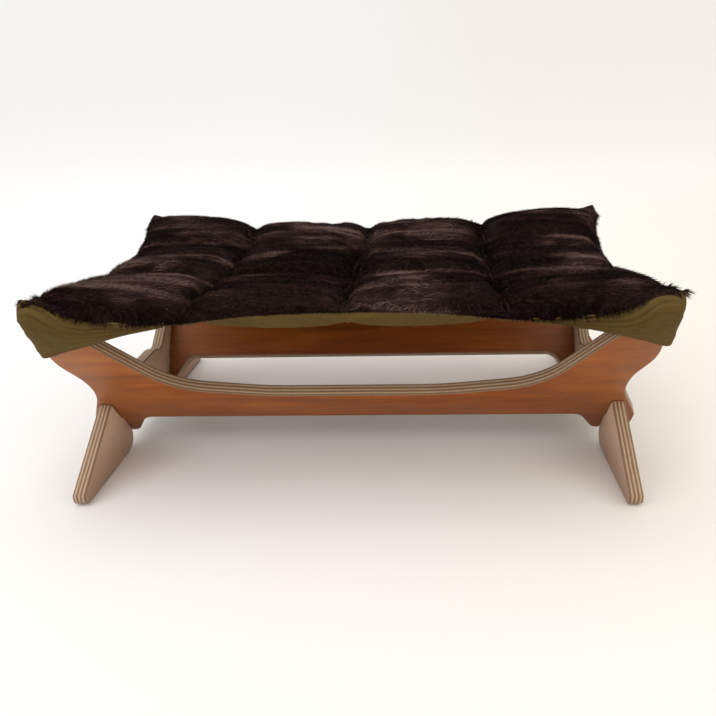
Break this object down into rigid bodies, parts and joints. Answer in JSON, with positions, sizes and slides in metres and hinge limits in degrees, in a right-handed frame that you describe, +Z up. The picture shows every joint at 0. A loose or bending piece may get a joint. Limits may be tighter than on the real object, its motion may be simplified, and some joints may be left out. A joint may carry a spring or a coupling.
{
  "type": "dog bed",
  "caption": "Raised small-dog bed: leaning plywood side panels slotted over upright cross panels, with a quilted fur-topped mat slung from the horns by corner pockets",
  "frame": {"origin": "on the floor, under the centre of the bed's box", "axes": "+X runs along the bed to its right end, +Y to its back, +Z up"},
  "size_m": [0.662, 0.446, 0.2455],
  "materials": {
    "plywood": "reddish-brown stained plywood, satin, with pale layered edges",
    "felt": "dark dense felt",
    "fur": "very dark brown long-pile faux fur",
    "wadding": "white polyester wadding",
    "olive_cloth": "matt olive-brown woven cotton"
  },
  "bodies": {
    "root": {"front_side_panel": "plywood", "rear_side_panel": "plywood", "left_cross_panel": "plywood", "right_cross_panel": "plywood", "foot_pad_front_left": "felt", "foot_pad_front_right": "felt", "foot_pad_rear_left": "felt", "foot_pad_rear_right": "felt", "fur_top_cover": "fur", "mat_wadding": "wadding", "mat_backing": "olive_cloth", "corner_pocket_front_left": "olive_cloth", "corner_pocket_front_right": "olive_cloth", "corner_pocket_rear_left": "olive_cloth", "corner_pocket_rear_right": "olive_cloth"}
  },
  "joints": []
}
